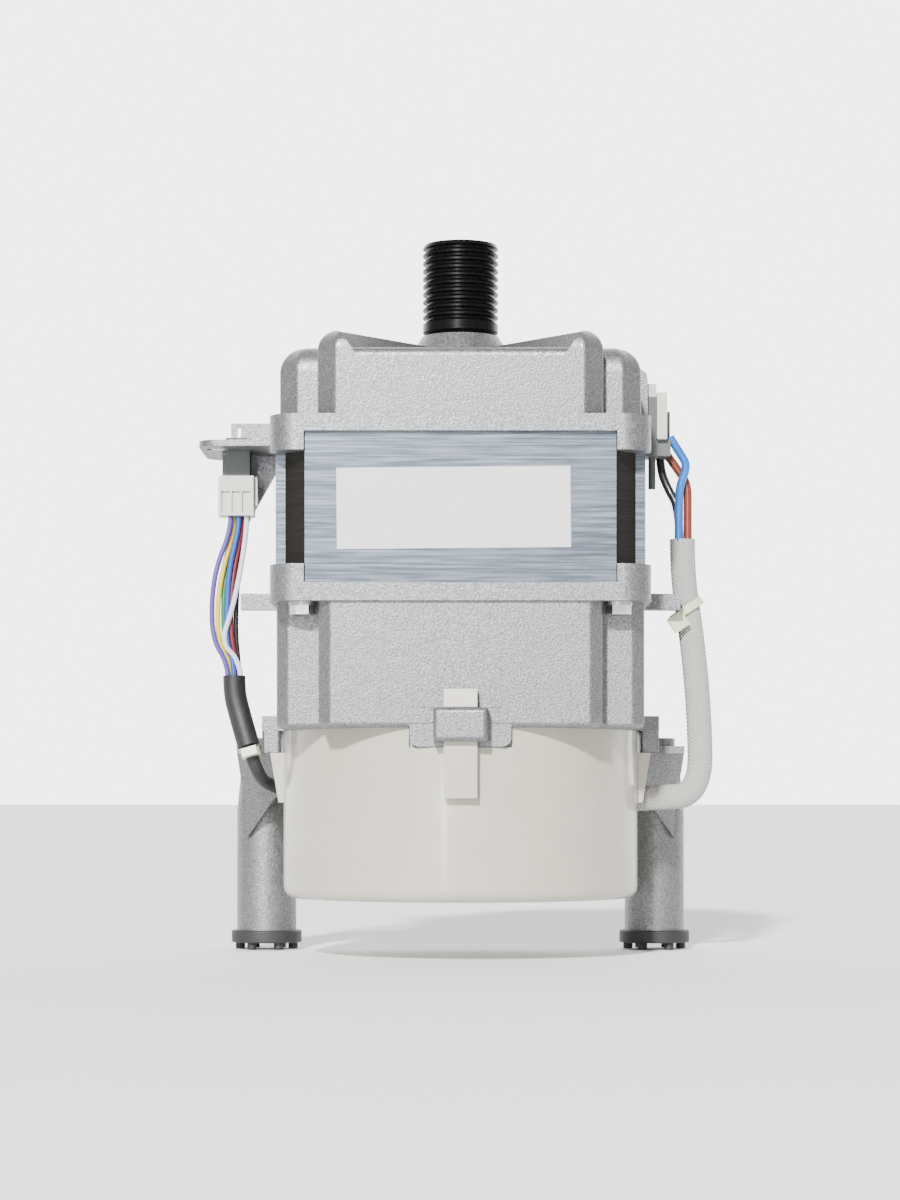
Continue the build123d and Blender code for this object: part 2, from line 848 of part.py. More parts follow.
def slot_insulator(face_z, way, name):
    """A moulded winding frame on one end of the core. way is 1 upwards or -1 downwards."""
    with BuildPart() as frame:
        with BuildSketch(level(face_z)):
            Circle(insulator_ring_radius)
            Circle(slot_radius - insulator_side_gap, mode=Mode.SUBTRACT)
            with PolarLocations((shoe_radius + slot_radius) / 2, tooth_count):
                Rectangle(slot_radius - shoe_radius + insulator_wall, tooth_width)
        extrude(amount=way * insulator_pad)
        with BuildSketch(level(face_z + way * insulator_pad)):
            Circle(insulator_ring_radius)
            Circle(insulator_ring_radius - insulator_wall, mode=Mode.SUBTRACT)
        extrude(amount=way * (insulator_wall_height - insulator_pad))
        with BuildSketch(level(face_z)):
            with PolarLocations(shoe_radius, tooth_count):
                Rectangle(insulator_wall, tooth_width + 2 * coil_slot_gap)
        extrude(amount=way * insulator_inner_wall_height)
    save(frame.part, name)


slot_insulator(stack_top_z, 1, "upper_slot_insulator")
slot_insulator(stack_z, -1, "lower_slot_insulator")

# Stator coils, one round each tooth
coil_low_z = stack_z - insulator_pad - coil_end_height
coil_high_z = stack_top_z + insulator_pad + coil_end_height
coil_middle = (coil_inner_radius + coil_outer_radius) / 2
coil_depth = coil_outer_radius - coil_inner_radius
coil_window = tooth_width + 2 * coil_slot_gap

with BuildPart() as stator_coils:
    with BuildSketch(level(coil_low_z)):
        with PolarLocations(coil_middle, tooth_count):
            Rectangle(coil_depth, coil_window + 2 * coil_side)
    extrude(amount=coil_high_z - coil_low_z)
    with BuildSketch(level(stack_z - insulator_pad - slip_gap)):
        with PolarLocations(coil_middle, tooth_count):
            Rectangle(coil_depth + cut_overrun, coil_window)
    extrude(amount=stack_height + 2 * (insulator_pad + slip_gap), mode=Mode.SUBTRACT)
save(stator_coils.part, "stator_coils")

# Through bolts, with hexagon washer heads under the lower flange
bolt_tip_z = dome_z - bolt_end_gap
with BuildPart() as through_bolts:
    with BuildSketch(level(lower_flange_z)):
        with bolt_places():
            Circle(bolt_radius)
    extrude(amount=bolt_tip_z - lower_flange_z)
    with BuildSketch(level(lower_flange_z)):
        with bolt_places():
            Circle(bolt_head_radius)
    extrude(amount=-bolt_washer_height)
    with BuildSketch(level(lower_flange_z - bolt_washer_height)):
        with bolt_places():
            RegularPolygon(bolt_hex_radius, hexagon_sides)
    extrude(amount=-bolt_hex_height)
save(through_bolts.part, "through_bolts")

# Routes of the sensor cable and of the braided sleeve
sleeve_end = Vector(*sensor_sleeve_points[-1])
sleeve_last_run = sleeve_end - Vector(*sensor_sleeve_points[-2])
cable_way_on = sleeve_end + sleeve_last_run * sensor_cable_lead_share
sensor_cable_route = at_shaft([tuple(sleeve_end), tuple(cable_way_on)] + sensor_cable_points)
braid_route = [from_shaft(x, braid_y, z) for x, z in braid_points]


def braid(grow):
    """The braided sleeve, flat in section and grown by a gap, along its route."""
    with BuildPart() as piece:
        with BuildLine() as path:
            FilletPolyline(*braid_route, radius=free_radii(braid_route))
        route = path.wire()
        with BuildSketch(Plane(origin=route @ 0, x_dir=(0, 1, 0), z_dir=route % 0)):
            Ellipse(braid_depth / 2 + grow, braid_width / 2 + grow)
        sweep()
    return piece.part


# Cap, with its latch tongue, its side wings and its two cable holes
with BuildPart() as end_cap:
    with BuildSketch(level(cap_floor_z)):
        Circle(cap_radius)
    extrude(amount=cap_height)
    fillet(end_cap.edges().group_by(Axis.Z)[0], cap_edge_radius)
    for side in (-1, 1):
        wing_outline = [
            (side * (cap_radius - cap_wall), cap_wing_foot_z),
            (side * (cap_radius + cap_wing_foot_reach), cap_wing_foot_z),
            (side * (cap_radius + cap_wing_reach), arm_low_z - slip_gap),
            (side * (cap_radius - cap_wall), arm_low_z - slip_gap),
        ]
        add(prism(facing(-cap_wing_front_y - cap_wing_width), wing_outline, cap_wing_width))
    tongue_root = (-tongue_outer, -cap_radius + cap_wall)
    add(block(centred(tongue_half), tongue_root, (tongue_low_z, lug_low_z - 2 * slip_gap)))
    add(block(centred(tongue_half), (-tongue_outer, -tongue_inner), (lug_low_z - cut_overrun, tongue_top_z)))
    hook_outline = [
        (-tongue_outer - tongue_hook, lug_high_z + slip_gap),
        (-tongue_outer, lug_high_z + slip_gap),
        (-tongue_outer, tongue_top_z),
    ]
    add(prism(side_plane(-tongue_half), hook_outline, 2 * tongue_half))
    add(ring(0, cap_radius - cap_wall, cap_floor_z + cap_wall, cap_top_z), mode=Mode.SUBTRACT)
    add(block(
        centred(apron_half + slip_gap),
        (-lower_lobe_reach - slip_gap, -lower_lobe_reach + apron_thickness + 2 * slip_gap),
        (cap_top_z - apron_drop - slip_gap, cap_top_z + slip_gap),
    ), mode=Mode.SUBTRACT)
    hole_radius = sensor_cable_radius + cable_hole_gap
    add(tube(sensor_cable_route, free_radii(sensor_cable_route), hole_radius, "cable hole"),
        mode=Mode.SUBTRACT)
    add(braid(cable_hole_gap), mode=Mode.SUBTRACT)
save(end_cap.part, "end_cap")


def bearing(bore, outer, width, low_z, name):
    """A ball bearing: its outer race, its inner race, and its balls held in a cage."""
    race = (outer - bore) * race_thickness_share
    middle = (bore + outer) / 2
    centre_z = low_z + width / 2
    ball_radius = (outer - bore) * ball_share
    groove = ball_radius + running_gap

    def race_ring(inner_radius, outer_radius, part_name):
        with BuildPart() as piece:
            add(ring(inner_radius, outer_radius, low_z, low_z + width))
            with BuildSketch(facing(0)):
                with Locations((middle, centre_z)):
                    Circle(groove)
            revolve(axis=shaft_axis, mode=Mode.SUBTRACT)
        save(piece.part, part_name)

    race_ring(middle + race / 2, outer, name + "_bearing_outer_race")
    race_ring(bore, middle - race / 2, name + "_bearing_inner_race")
    cage_half = width * cage_width_share
    with BuildPart() as balls:
        add(ring(middle - cage_wall / 2, middle + cage_wall / 2, centre_z - cage_half, centre_z + cage_half))
        with Locations(level(centre_z)):
            with PolarLocations(middle, ball_count):
                Sphere(ball_radius)
    save(balls.part, name + "_bearing_balls")


bearing(upper_bearing_bore_radius, upper_bearing_outer_radius, upper_bearing_width, upper_bearing_z, "upper")
bearing(lower_bearing_bore_radius, lower_bearing_outer_radius, lower_bearing_width, lower_bearing_z, "lower")

# Preload washer under the tail bearing
washer_inner_radius = lower_bearing_outer_radius - bearing_lip
washer_outer_radius = lower_bearing_outer_radius - slip_gap
save(ring(washer_inner_radius, washer_outer_radius, washer_z, lower_bearing_z), "preload_washer")

# Shaft, from the tail to the end of the pulley
tail_z = cap_top_z - tail_length
lower_seat_radius = lower_bearing_bore_radius - press_gap
upper_seat_radius = upper_bearing_bore_radius - press_gap
shaft_outline = [
    (0, tail_z),
    (tail_radius, tail_z),
    (tail_radius, lower_bearing_z),
    (lower_seat_radius, lower_bearing_z),
    (lower_seat_radius, lower_bearing_top_z),
    (core_seat_radius, lower_bearing_top_z),
    (core_seat_radius, upper_bearing_z),
    (upper_seat_radius, upper_bearing_z),
    (upper_seat_radius, pulley_z),
    (pulley_seat_radius, pulley_z),
    (pulley_seat_radius, pulley_top_z),
    (0, pulley_top_z),
]
save(turned(shaft_outline), "shaft")

# Pulley, with vee grooves for a ribbed belt
pulley_radius = pulley_diameter / 2
pulley_bore_radius = pulley_seat_radius + press_gap
groove_radius = pulley_radius - rib_pitch * groove_depth_share
groove_flat = rib_pitch * rib_flat_share
ribs_top_z = pulley_top_z - pulley_top_bevel
ribs_low_z = ribs_top_z - rib_count * rib_pitch
pulley_outline = [
    (pulley_bore_radius, pulley_z),
    (pulley_radius - pulley_collar_bevel, pulley_z),
    (pulley_radius, pulley_z + pulley_collar_bevel),
]
for rib in range(rib_count):
    rib_z = ribs_low_z + rib * rib_pitch
    groove_z = rib_z + rib_pitch / 2
    pulley_outline += [
        (pulley_radius, rib_z),
        (groove_radius, groove_z - groove_flat / 2),
        (groove_radius, groove_z + groove_flat / 2),
        (pulley_radius, rib_z + rib_pitch - groove_flat),
    ]
pulley_outline += [(pulley_radius - pulley_top_bevel, pulley_top_z), (pulley_bore_radius, pulley_top_z)]
save(turned(pulley_outline), "drive_pulley")

# Rotor core, its magnets and its end plates
with BuildPart() as rotor_core:
    with BuildSketch(level(stack_z)):
        Circle(rotor_radius)
        with PolarLocations(magnet_radius, magnet_count):
            Rectangle(magnet_thickness, magnet_width, mode=Mode.SUBTRACT)
        Circle(core_seat_radius + press_gap, mode=Mode.SUBTRACT)
    extrude(amount=stack_height)
save(rotor_core.part, "rotor_core")

with BuildPart() as rotor_magnets:
    with BuildSketch(level(stack_z)):
        with PolarLocations(magnet_radius, magnet_count):
            Rectangle(magnet_thickness - 2 * magnet_gap, magnet_width - 2 * magnet_gap)
    extrude(amount=stack_height)
save(rotor_magnets.part, "rotor_magnets")

with BuildPart() as rotor_end_plates:
    for plate_z in (stack_z - end_plate_thickness, stack_top_z):
        add(ring(core_seat_radius + press_gap, end_plate_radius, plate_z, plate_z + end_plate_thickness))
save(rotor_end_plates.part, "rotor_end_plates")

# Sensor magnet on the tail
sensor_magnet = ring(tail_radius + press_gap, sensor_magnet_radius, tail_z, tail_z + sensor_magnet_height)
save(sensor_magnet, "sensor_magnet")

# Sensor board, its screws and the sensors on it
board_z = cap_top_z - board_drop - board_thickness
with BuildPart() as sensor_board:
    with BuildSketch(level(board_z)):
        Circle(board_radius)
        Circle(board_hole_radius, mode=Mode.SUBTRACT)
        with PolarLocations(board_post_place, hall_count):
            Circle(board_screw_radius + press_gap, mode=Mode.SUBTRACT)
    extrude(amount=board_thickness)
    with BuildSketch(level(board_z + board_thickness)):
        with PolarLocations(hall_place, hall_count, start_angle=180 / hall_count):
            Rectangle(hall_size, hall_size)
    extrude(amount=hall_height)
save(sensor_board.part, "sensor_board")

with BuildPart() as board_screws:
    with BuildSketch(level(board_z)):
        with PolarLocations(board_post_place, hall_count):
            Circle(board_screw_radius)
    extrude(amount=board_screw_length)
    with BuildSketch(level(board_z)):
        with PolarLocations(board_post_place, hall_count):
            Circle(board_screw_head_radius)
    extrude(amount=-board_screw_head_height)
save(board_screws.part, "board_screws")


def bush(side, name):
    """A rubber bush in the foot of a leg, with nubs on its face."""
    centre = (side * leg_x, 0)
    with BuildPart() as rubber:
        with BuildSketch(Plane.XY):
            with Locations(centre):
                Circle(bush_flange_radius)
        extrude(amount=bush_flange_thickness)
        fillet(rubber.edges(), edge_radius / 2)
        with BuildSketch(Plane.XY.offset(bush_flange_thickness)):
            with Locations(centre):
                Circle(leg_bore_radius - press_gap)
        extrude(amount=bush_plug_length)
        with BuildSketch(Plane.XY):
            with Locations(centre):
                with PolarLocations((bush_flange_radius + bush_bore_radius) / 2, bush_nub_count):
                    Circle(bush_nub_radius)
        extrude(amount=-bush_nub_height)
        with BuildSketch(Plane.XY):
            with Locations(centre):
                Circle(bush_bore_radius)
        extrude(amount=bush_flange_thickness + bush_plug_length, mode=Mode.SUBTRACT)
    save(rubber.part, name)


def bush_sleeve(side, name):
    """The steel sleeve that the mounting bolt goes through."""
    with BuildPart() as sleeve:
        with BuildSketch(Plane.XY):
            with Locations((side * leg_x, 0)):
                Circle(sleeve_outer_radius)
                Circle(sleeve_bore_radius, mode=Mode.SUBTRACT)
        extrude(amount=spigot_top_z)
    save(sleeve.part, name)


for side, hand in ((-1, "left"), (1, "right")):
    bush(side, hand + "_leg_bush")
    bush_sleeve(side, hand + "_leg_sleeve")

# Sensor header, which goes up through the shelf
header_low_z = shelf_z - header_drop
with BuildPart() as sensor_header:
    with BuildSketch(level(header_low_z)):
        with Locations((header_x, header_y)):
            Rectangle(header_width, header_depth)
    extrude(amount=header_drop)
    with BuildSketch(level(shelf_z)):
        with Locations((header_x, header_y)):
            Rectangle(header_top_width, header_depth)
    extrude(amount=shelf_thickness + header_top_height)
save(sensor_header.part, "sensor_header")

# Sensor plug under the header, with its windows in front and a latch at its side
plug_low_z = header_low_z - plug_length
plug_front = -header_y + plug_depth / 2
window_z = plug_low_z + plug_window_height / 2
latch_x = header_x + plug_width / 2
with BuildPart() as sensor_plug:
    with BuildSketch(level(plug_low_z)):
        with Locations((header_x, header_y)):
            Rectangle(plug_width, plug_depth)
    extrude(amount=plug_length)
    with BuildSketch(facing(plug_front)):
        with Locations((header_x, window_z + plug_window_depth)):
            with GridLocations(plug_window_pitch, 0, plug_window_count, 1):
                Rectangle(plug_window_width, plug_window_height)
    extrude(amount=-plug_window_depth, mode=Mode.SUBTRACT)
    add(block(
        (latch_x, latch_x + plug_latch_thickness),
        (header_y - plug_latch_width / 2, header_y + plug_latch_width / 2),
        (window_z, header_low_z),
    ))
save(sensor_plug.part, "sensor_plug")

# Screw that holds the header's bracket on the shelf
with BuildPart() as header_screw:
    with BuildSketch(level(shelf_z)):
        with Locations((header_screw_x, header_screw_y)):
            Circle(header_screw_shank)
    extrude(amount=shelf_thickness)
    with BuildSketch(level(shelf_top_z)):
        with Locations((header_screw_x, header_screw_y)):
            Circle(header_screw_radius)
    extrude(amount=header_screw_height)
    fillet(header_screw.edges().group_by(Axis.Z)[-1], header_screw_height - running_gap)
save(header_screw.part, "header_screw")

# Sensor leads, from the plug to the black sleeve. They stand in rows, from left to right.
mouth_x, mouth_y, mouth_z = sensor_sleeve_points[0]
middle_lead = (len(sensor_leads) - 1) / 2
for number, (colour, high_wander, low_wander) in enumerate(sensor_leads):
    across = number - middle_lead
    row = number % lead_row_count - (lead_row_count - 1) / 2
    start_x = lead_start_x + across * lead_pitch
    belly_x = lead_belly_x + across * belly_pitch
    row_y = header_y + row * lead_row
    end_x = mouth_x + across * mouth_pitch
    end_y = mouth_y + row * mouth_row
    route = at_shaft([
        (start_x, row_y, plug_low_z),
        (start_x, row_y, lead_exit_z),
        (belly_x + high_wander, row_y, lead_belly_high_z),
        (belly_x + low_wander, row_y, lead_belly_low_z),
        (end_x, end_y, mouth_z + lead_mouth_run),
        (end_x, end_y, mouth_z),
    ])
    name = "sensor_lead_" + colour
    save(tube(route, free_radii(route), lead_radius, name), name)

# Black sleeve over the sensor leads, and the cable from it into the side of the cap
sensor_sleeve_route = at_shaft(sensor_sleeve_points)
sleeve_bends = free_radii(sensor_sleeve_route)
sensor_sleeve = tube(sensor_sleeve_route, sleeve_bends, sensor_sleeve_radius, "sensor sleeve")
save(sensor_sleeve, "sensor_sleeve")
sensor_cable = tube(sensor_cable_route, free_radii(sensor_cable_route), sensor_cable_radius, "sensor cable")
save(sensor_cable, "sensor_cable")

# Tie round the cable where it leaves the sleeve, with its head in front
tie_centre = Vector(*sensor_cable_route[0]) + sleeve_last_run.normalized() * sensor_tie_drop
tie_plane = Plane(origin=tie_centre, x_dir=sleeve_last_run.cross(Vector(0, 1, 0)), z_dir=-sleeve_last_run)
with BuildPart() as sensor_cable_tie:
    with BuildSketch(tie_plane.offset(-sensor_tie_band_width / 2)):
        Circle(sensor_cable_radius + sensor_tie_band)
        with Locations((0, -sensor_cable_radius - sensor_tie_head_depth / 2)):
            Rectangle(sensor_tie_head, sensor_tie_head_depth)
        Circle(sensor_cable_radius, mode=Mode.SUBTRACT)
    extrude(amount=sensor_tie_band_width)
save(sensor_cable_tie.part, "sensor_cable_tie")

# Phase connector on the side of the upper bracket, and the carrier it sits on
carrier_x = pad_outer_x + press_gap
phase_x = carrier_x + carrier_thickness
phase_outer_x = phase_x + phase_block_thickness
with BuildPart() as phase_carrier:
    carrier_sides = (phase_y - carrier_depth / 2, phase_y + carrier_depth / 2)
    add(block((carrier_x, phase_x), carrier_sides, (dome_z - slip_gap, carrier_high_z)))
    add(block((flange_half + slip_gap, phase_x), carrier_sides, (carrier_low_z, dome_z - slip_gap)))
    with BuildSketch(level(carrier_low_z)):
        with Locations((phase_x - phase_peg_radius, phase_y)):
            Circle(phase_peg_radius)
    extrude(amount=-phase_peg_drop)
save(phase_carrier.part, "phase_carrier")

with BuildPart() as phase_connector:
    block_sides = (phase_y - phase_block_depth / 2, phase_y + phase_block_depth / 2)
    hook_sides = (phase_y - phase_hook_depth / 2, phase_y + phase_hook_depth / 2)
    add(block((phase_x, phase_outer_x), block_sides, (phase_block_low_z, phase_block_high_z)))
    add(block(
        (carrier_x, phase_x),
        hook_sides,
        (carrier_high_z, carrier_high_z + phase_hook_height),
    ))
save(phase_connector.part, "phase_connector")

# Phase plug below it, with its latch up the outside of the connector and a bore for each lead
phase_plug_low_z = phase_block_low_z - phase_plug_height
phase_plug_outer_x = phase_outer_x + phase_latch_thickness
with BuildPart() as phase_plug:
    plug_sides = (phase_y - phase_plug_depth / 2, phase_y + phase_plug_depth / 2)
    latch_sides = (phase_y - phase_latch_depth / 2, phase_y + phase_latch_depth / 2)
    add(block((phase_x, phase_plug_outer_x), plug_sides, (phase_plug_low_z, phase_block_low_z)))
    add(block((phase_outer_x, phase_plug_outer_x), latch_sides, (phase_block_low_z, phase_latch_top_z)))
    for lead_points in phase_routes.values():
        lead_start = Vector(*from_shaft(*lead_points[0]))
        lead_next = Vector(*from_shaft(*lead_points[1]))
        with BuildSketch(Plane(origin=lead_start, z_dir=lead_next - lead_start)):
            Circle(phase_lead_radius + press_gap)
        extrude(amount=(lead_next - lead_start).length, mode=Mode.SUBTRACT)
save(phase_plug.part, "phase_plug")

# Phase leads, from the plug to the braided sleeve
for lead_name, lead_points in phase_routes.items():
    route = at_shaft(lead_points)
    save(tube(route, free_radii(route), phase_lead_radius, lead_name), lead_name)

# Braided sleeve over the phase leads, into the side of the cap
save(braid(0), "braided_sleeve")

# Tie round the braided sleeve, tilted, with its head in front
tie_tilt = math.radians(braid_tie_tilt)
tie_lean = Plane(
    origin=from_shaft(braid_tie_x, braid_y, braid_tie_z),
    x_dir=(math.cos(tie_tilt), 0, math.sin(tie_tilt)),
    z_dir=(-math.sin(tie_tilt), 0, math.cos(tie_tilt)),
)
tie_half_length = braid_width / 2 / math.cos(tie_tilt) + braid_tie_band
with BuildPart() as phase_cable_tie:
    with BuildSketch(tie_lean.offset(-braid_tie_band_width / 2)):
        Ellipse(tie_half_length, braid_depth / 2 + braid_tie_band)
    extrude(amount=braid_tie_band_width)
    with BuildSketch(facing(braid_depth / 2 - braid_y)):
        with Locations(Location((braid_tie_head_x, braid_tie_head_z), braid_tie_tilt)):
            Rectangle(braid_tie_head, braid_tie_head)
    extrude(amount=braid_tie_head_depth)
    add(braid(braid_tie_gap), mode=Mode.SUBTRACT)
save(phase_cable_tie.part, "phase_cable_tie")
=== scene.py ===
import math

import bpy
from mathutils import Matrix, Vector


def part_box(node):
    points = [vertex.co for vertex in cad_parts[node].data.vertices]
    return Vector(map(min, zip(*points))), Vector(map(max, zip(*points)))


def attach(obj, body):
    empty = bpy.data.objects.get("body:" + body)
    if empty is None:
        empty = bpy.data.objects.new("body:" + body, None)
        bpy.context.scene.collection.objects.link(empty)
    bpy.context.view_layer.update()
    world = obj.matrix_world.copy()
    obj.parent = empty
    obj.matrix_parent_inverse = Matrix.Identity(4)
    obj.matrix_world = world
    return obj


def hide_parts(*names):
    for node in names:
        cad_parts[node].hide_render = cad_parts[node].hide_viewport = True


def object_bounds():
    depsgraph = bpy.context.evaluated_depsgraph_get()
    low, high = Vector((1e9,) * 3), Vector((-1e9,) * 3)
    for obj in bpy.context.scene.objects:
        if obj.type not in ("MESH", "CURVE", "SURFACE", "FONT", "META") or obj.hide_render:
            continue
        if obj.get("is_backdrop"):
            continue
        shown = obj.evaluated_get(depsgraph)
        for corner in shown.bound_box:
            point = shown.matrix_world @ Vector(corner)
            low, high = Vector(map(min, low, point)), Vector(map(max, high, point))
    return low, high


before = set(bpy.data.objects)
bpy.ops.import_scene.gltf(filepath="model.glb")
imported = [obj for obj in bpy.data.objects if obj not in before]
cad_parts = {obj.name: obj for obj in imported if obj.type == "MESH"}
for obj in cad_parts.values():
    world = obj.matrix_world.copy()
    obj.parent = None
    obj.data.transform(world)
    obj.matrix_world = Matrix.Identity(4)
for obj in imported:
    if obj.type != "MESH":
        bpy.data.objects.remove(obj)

bl_info = {
    "name": "Belt drive motor looks",
    "version": (1, 0, 0),
    "blender": (4, 5, 0),
    "location": "View3D > Sidebar > Motor",
    "description": "Dresses the packed motor with its finishes, leads, sleeves, label and studio",
    "category": "Object",
}

# Sizes in metres, turns in radians, the camera sensor in millimetres and counts as they are
SHAFT_Y = -0.042
CORE_FLAT_HALF = 0.04445
BRAID_SECTION_POINTS = 16
YARN_SCALE = 420.0
YARN_LEAN = math.radians(38.0)
FLOOR_SIZE = 60.0
FLOOR_GAP = 0.0002
SENSOR_WIDTH_MM = 36.0
CAMERA_SHIFT = (-0.00875, 0.167)
SUN_SPREAD = math.radians(4.0)
SUN_TURN = (math.radians(62.0), 0.0, math.radians(-12.0))
STRIP_WIDTH = 0.09
STRIP_HEIGHT = 1.2
STRIP_PLACE = (-0.23, SHAFT_Y - 1.25, 0.3)
STRIP_TURN = (math.radians(82.0), 0.0, math.radians(-10.5))
CAMERA_TURN = (math.radians(90.0), 0.0, 0.0)


# Finishes
def new_finish(name, colour, roughness, metallic=0.0, coat=0.0, coat_roughness=0.1, specular=0.5):
    """A material with its shader's constants set, and its nodes ready for detail."""
    material = bpy.data.materials.new(name)
    material.use_nodes = True
    shader = material.node_tree.nodes["Principled BSDF"]
    shader.inputs["Base Color"].default_value = (*colour, 1.0)
    shader.inputs["Roughness"].default_value = roughness
    shader.inputs["Metallic"].default_value = metallic
    shader.inputs["Coat Weight"].default_value = coat
    shader.inputs["Coat Roughness"].default_value = coat_roughness
    shader.inputs["Specular IOR Level"].default_value = specular
    return material


def object_place(material, stretch=(1.0, 1.0, 1.0), turn=(0.0, 0.0, 0.0)):
    """The object's own coordinates, stretched and turned."""
    nodes = material.node_tree.nodes
    place = nodes.new("ShaderNodeTexCoord")
    mapping = nodes.new("ShaderNodeMapping")
    mapping.inputs["Scale"].default_value = stretch
    mapping.inputs["Rotation"].default_value = turn
    material.node_tree.links.new(place.outputs["Object"], mapping.inputs["Vector"])
    return mapping.outputs["Vector"]


def grain(material, scale, stretch=(1.0, 1.0, 1.0), detail=3.0):
    """A noise pattern at this scale per metre."""
    noise = material.node_tree.nodes.new("ShaderNodeTexNoise")
    noise.inputs["Scale"].default_value = scale
    noise.inputs["Detail"].default_value = detail
    material.node_tree.links.new(object_place(material, stretch), noise.inputs["Vector"])
    return noise.outputs["Fac"]


def bands(material, scale, turn, distortion=0.0):
    """Parallel bands at this scale per metre, turned in the object's coordinates."""
    wave = material.node_tree.nodes.new("ShaderNodeTexWave")
    wave.inputs["Scale"].default_value = scale
    wave.inputs["Distortion"].default_value = distortion
    material.node_tree.links.new(object_place(material, turn=turn), wave.inputs["Vector"])
    return wave.outputs["Fac"]


def ramp(material, source, low, high, start=0.3, end=0.7):
    """Two colours spread over a stretch of a pattern."""
    node = material.node_tree.nodes.new("ShaderNodeValToRGB")
    node.color_ramp.elements[0].position = start
    node.color_ramp.elements[0].color = (*low, 1.0)
    node.color_ramp.elements[1].position = end
    node.color_ramp.elements[1].color = (*high, 1.0)
    material.node_tree.links.new(source, node.inputs["Fac"])
    return node.outputs["Color"]


def spread(material, source, low, high):
    """A pattern's values brought into this range."""
    node = material.node_tree.nodes.new("ShaderNodeMapRange")
    node.inputs["From Min"].default_value = 0.3
    node.inputs["From Max"].default_value = 0.7
    node.inputs["To Min"].default_value = low
    node.inputs["To Max"].default_value = high
    material.node_tree.links.new(source, node.inputs["Value"])
    return node.outputs["Result"]


def to_shader(material, output, socket):
    """Feeds a pattern to one of the shader's sockets."""
    shader = material.node_tree.nodes["Principled BSDF"]
    material.node_tree.links.new(output, shader.inputs[socket])


def relief(material, source, height, strength=1.0):
    """Raises the surface by a pattern, in metres."""
    bump = material.node_tree.nodes.new("ShaderNodeBump")
    bump.inputs["Distance"].default_value = height
    bump.inputs["Strength"].default_value = strength
    material.node_tree.links.new(source, bump.inputs["Height"])
    to_shader(material, bump.outputs["Normal"], "Normal")


def arithmetic(material, operation, first, second=None):
    """One step of arithmetic on a pattern, where the second value may be a number."""
    node = material.node_tree.nodes.new("ShaderNodeMath")
    node.operation = operation
    material.node_tree.links.new(first, node.inputs[0])
    if isinstance(second, float):
        node.inputs[1].default_value = second
    elif second is not None:
        material.node_tree.links.new(second, node.inputs[1])
    return node.outputs["Value"]


def cast_aluminium():
    """Bright cast aluminium with a fine blasted sparkle."""
    material = new_finish("cast_aluminium", (0.25, 0.255, 0.265), 0.45, metallic=0.8)
    sparkle = grain(material, 2000.0, detail=2.0)
    tone = ramp(material, sparkle, (0.15, 0.152, 0.157), (0.29, 0.294, 0.302), 0.34, 0.7)
    to_shader(material, tone, "Base Color")
    to_shader(material, spread(material, grain(material, 700.0), 0.34, 0.56), "Roughness")
    relief(material, grain(material, 1500.0, detail=4.0), 0.00013, 0.8)
    return material


def paint_corner_shade(material, colour, flat_half):
    """Paints shade on what lies past the flat faces on both axes, round the shaft: the recessed corner
    notches are darkened to stand in for their shadow.
    """
    axes = material.node_tree.nodes.new("ShaderNodeSeparateXYZ")
    material.node_tree.links.new(object_place(material), axes.inputs["Vector"])
    across = arithmetic(material, "ABSOLUTE", axes.outputs["X"])
    along = arithmetic(material, "ABSOLUTE", arithmetic(material, "SUBTRACT", axes.outputs["Y"], SHAFT_Y))
    # Mask of the recessed corners that get the painted shade
    corner = arithmetic(material, "GREATER_THAN", arithmetic(material, "MINIMUM", across, along), flat_half)
    painted_shade_mix = material.node_tree.nodes.new("ShaderNodeMixRGB")
    base = material.node_tree.nodes["Principled BSDF"].inputs["Base Color"]
    material.node_tree.links.new(corner, painted_shade_mix.inputs["Fac"])
    material.node_tree.links.new(base.links[0].from_socket, painted_shade_mix.inputs["Color1"])
    painted_shade_mix.inputs["Color2"].default_value = (*colour, 1.0)
    to_shader(material, painted_shade_mix.outputs["Color"], "Base Color")


def laminated_steel(name, low, high):
    """Stacked laminations, seen as fine streaks along the stack's faces."""
    material = new_finish(name, high, 0.4, metallic=0.8)
    streaks = grain(material, 60.0, stretch=(1.0, 1.0, 22.0), detail=6.0)
    to_shader(material, ramp(material, streaks, low, high, 0.35, 0.65), "Base Color")
    dullness = grain(material, 40.0, stretch=(1.0, 1.0, 40.0))
    to_shader(material, spread(material, dullness, 0.3, 0.5), "Roughness")
    relief(material, grain(material, 30.0, stretch=(0.4, 0.4, 60.0), detail=2.0), 0.00008, 0.6)
    return material


def machined_steel(name, colour, roughness):
    """Turned or plated steel with faint marks."""
    material = new_finish(name, colour, roughness, metallic=1.0)
    marks = grain(material, 900.0, stretch=(1.0, 1.0, 3.0))
    to_shader(material, spread(material, marks, roughness - 0.06, roughness + 0.1), "Roughness")
    relief(material, marks, 0.00003, 0.4)
    return material


def moulded(name, colour, roughness, coat=0.0, mottle=0.06, bump=0.00003):
    """Moulded plastic or rubber with a little unevenness in colour and surface."""
    material = new_finish(name, colour, roughness, coat=coat)
    low = tuple(channel * (1.0 - mottle) for channel in colour)
    high = tuple(min(1.0, channel * (1.0 + mottle)) for channel in colour)
    to_shader(material, ramp(material, grain(material, 90.0), low, high), "Base Color")
    dullness = spread(material, grain(material, 350.0), roughness - 0.04, roughness + 0.08)
    to_shader(material, dullness, "Roughness")
    relief(material, grain(material, 1400.0), bump, 0.5)
    return material


def woven(name, colour, gap_colour):
    """A braid of fine yarns that cross at an angle."""
    material = new_finish(name, colour, 0.75)
    left = bands(material, YARN_SCALE, (0.0, YARN_LEAN, 0.0))
    right = bands(material, YARN_SCALE, (0.0, -YARN_LEAN, 0.0))
    cross = arithmetic(material, "MULTIPLY", left, right)
    to_shader(material, ramp(material, cross, gap_colour, colour, 0.05, 0.5), "Base Color")
    relief(material, cross, 0.0003, 0.8)
    return material


